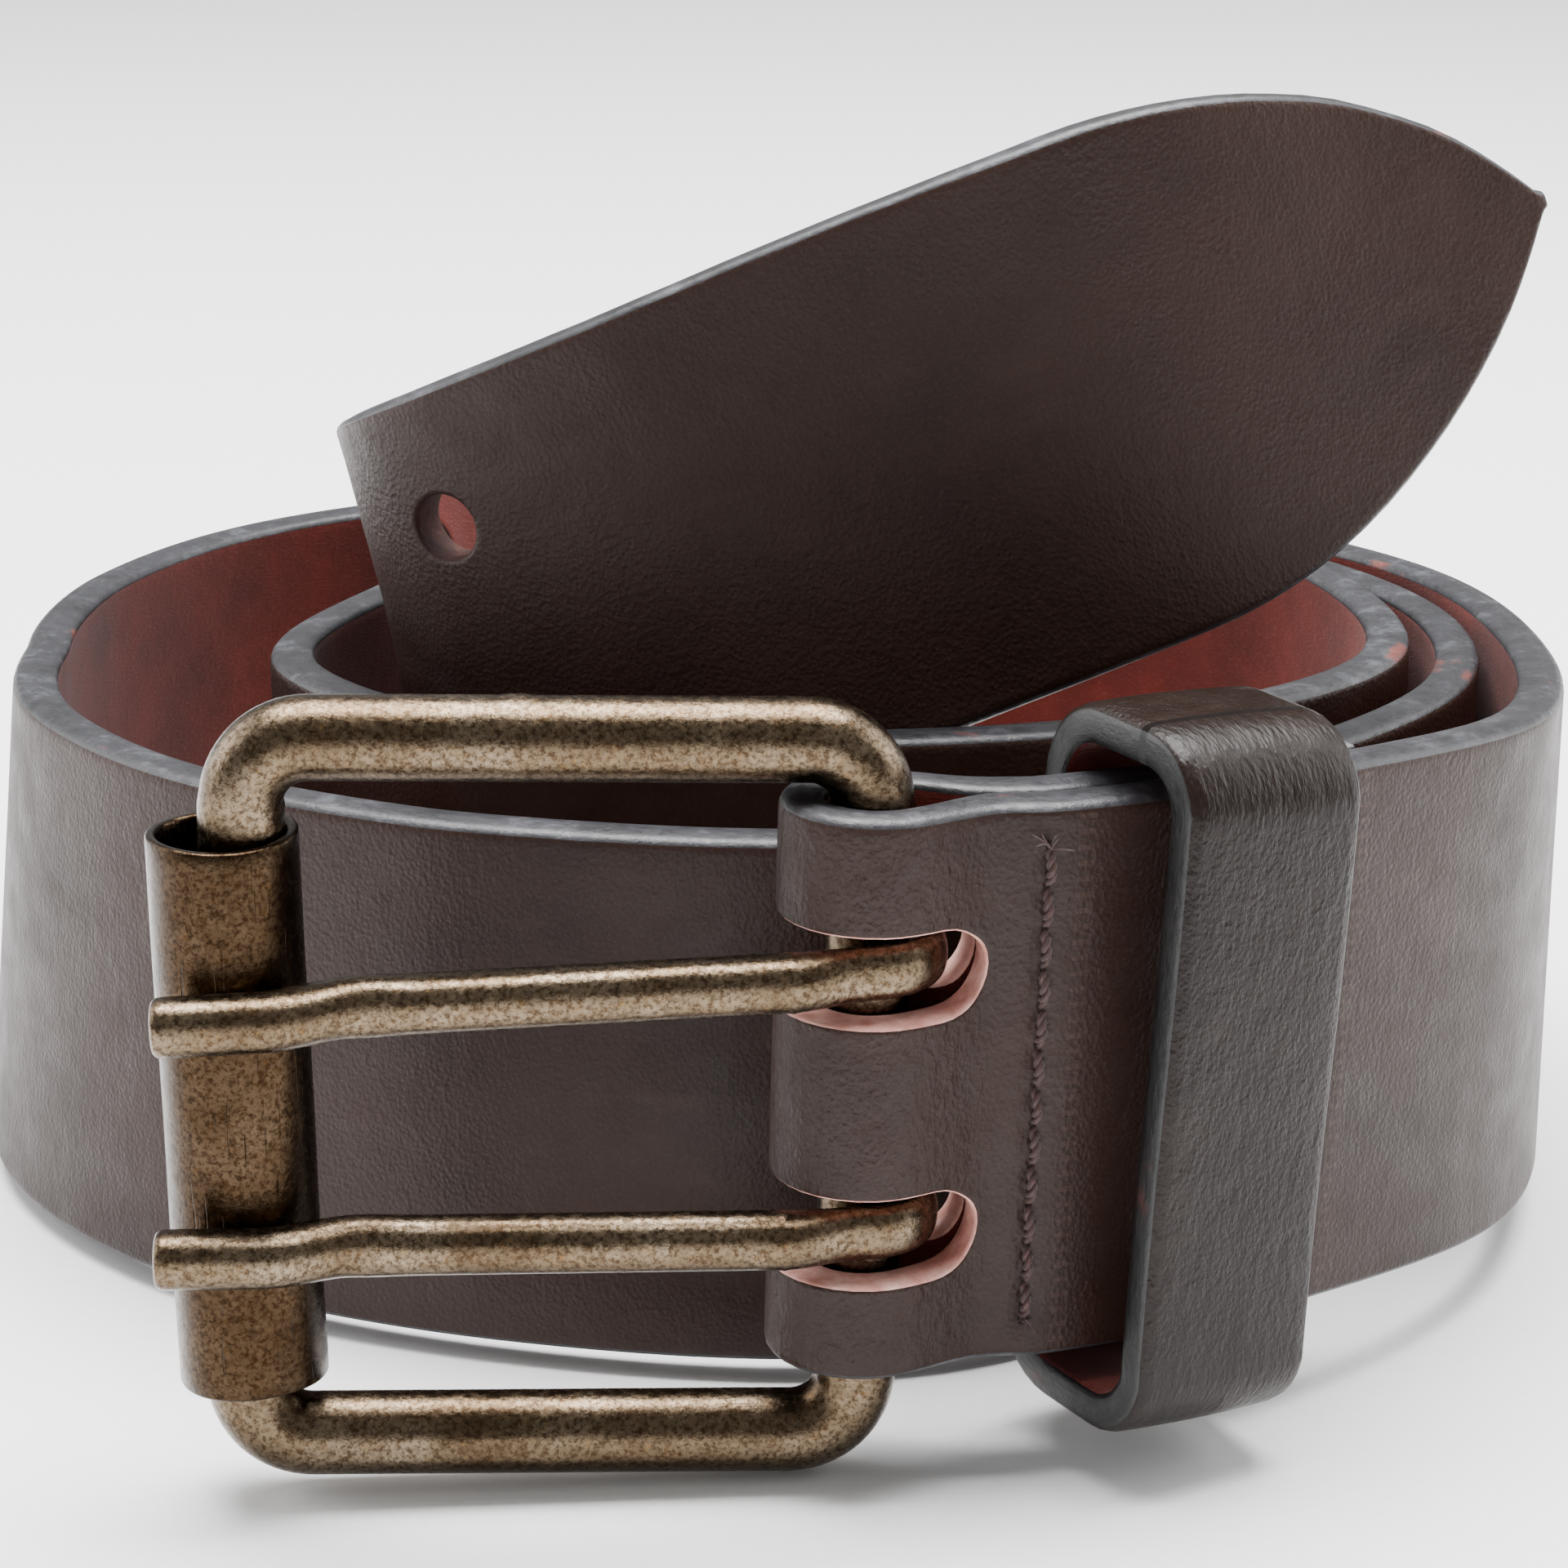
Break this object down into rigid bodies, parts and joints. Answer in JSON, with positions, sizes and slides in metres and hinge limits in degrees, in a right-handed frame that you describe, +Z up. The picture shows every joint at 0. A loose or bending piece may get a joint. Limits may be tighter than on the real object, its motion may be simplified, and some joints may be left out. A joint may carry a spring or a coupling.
{
  "type": "leather belt",
  "caption": "Full-grain leather belt with a double-prong roller buckle, punched rows of holes and a loop keeper, coiled and standing on its edge.",
  "frame": {"origin": "on the floor under the middle of the coiled belt's bounding box", "axes": "+X along the front of the coil from the buckle towards the tip, +Y away from the buckle's face, +Z up across the strap's width"},
  "size_m": [0.1446, 0.1582, 0.0998],
  "materials": {
    "strap_leather": "satin dark brown grain outside, reddish-brown flesh inside, burnished blue-grey edges",
    "keeper_leather": "satin dark brown, wrinkled grain, burnished black edges",
    "thread": "waxed red-brown sewing thread",
    "antique_brass": "antiqued brass plating, worn bright on the high spots, speckled dark patina"
  },
  "bodies": {
    "belt": {"strap": "strap_leather", "keeper": "keeper_leather", "needle_thread_front": "thread", "bobbin_thread_front": "thread", "needle_thread_rear": "thread", "bobbin_thread_rear": "thread"},
    "buckle": {"buckle_frame": "antique_brass"},
    "roller_tube": {"roller": "antique_brass"},
    "upper_prong": {"prong_upper": "antique_brass"},
    "lower_prong": {"prong_lower": "antique_brass"}
  },
  "joints": [
    {"name": "buckle_swing", "type": "hinge", "parent": "belt", "child": "buckle", "pos_m": [0.00864, -0.06505, 0.0333], "axis": [0.0258, 0.0045, 0.9997], "range_deg": [-14, 36]},
    {"name": "roller_spin", "type": "hinge", "parent": "buckle", "child": "roller_tube", "pos_m": [-0.03879, -0.06837, 0.03204], "axis": [-0.0195, 0.0014, 0.9998], "continuous": true},
    {"name": "upper_prong_lift", "type": "hinge", "parent": "buckle", "child": "upper_prong", "pos_m": [0.00864, -0.06505, 0.0333], "axis": [0.0258, 0.0045, 0.9997], "range_deg": [0, 60]},
    {"name": "lower_prong_lift", "type": "hinge", "parent": "buckle", "child": "lower_prong", "pos_m": [0.00864, -0.06505, 0.0333], "axis": [0.0258, 0.0045, 0.9997], "range_deg": [0, 60]}
  ]
}
